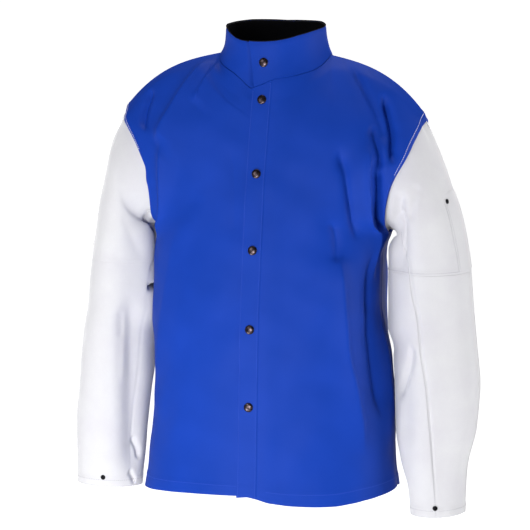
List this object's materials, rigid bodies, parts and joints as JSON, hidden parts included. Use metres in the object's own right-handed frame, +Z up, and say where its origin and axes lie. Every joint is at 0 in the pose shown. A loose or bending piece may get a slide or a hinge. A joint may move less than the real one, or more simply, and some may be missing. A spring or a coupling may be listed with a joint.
{
  "type": "welding jacket",
  "caption": "Welding jacket as worn: blue cotton body with a snap front and stand collar, and pale split-leather sleeves, open at the neck, hem and cuffs.",
  "frame": {"origin": "middle of the neck opening, level with the tops of the shoulder seams, where the jacket hangs on its wearer", "axes": "+Z up, wearer faces -Y, wearer's left is +X"},
  "size_m": [0.718, 0.3143, 0.829],
  "materials": {
    "cotton": "matte flame-resistant cotton twill",
    "leather": "suede split leather",
    "lining": "matte black collar lining",
    "gunmetal": "dark bronze-black enamel",
    "black_metal": "black enamel"
  },
  "bodies": {
    "root": {"back": "cotton", "front_right": "cotton", "front_left": "cotton", "collar": "cotton", "collar_lining": "lining", "sleeve_right_upper": "leather", "sleeve_right_lower": "leather", "sleeve_left_upper": "leather", "sleeve_left_lower": "leather", "pen_pocket": "leather", "pocket_rivet": "black_metal", "cuff_snap_right": "black_metal", "cuff_snap_left": "black_metal", "snap_collar": "gunmetal", "snap_1": "gunmetal", "snap_2": "gunmetal", "snap_3": "gunmetal", "snap_4": "gunmetal", "snap_5": "gunmetal"}
  },
  "joints": []
}
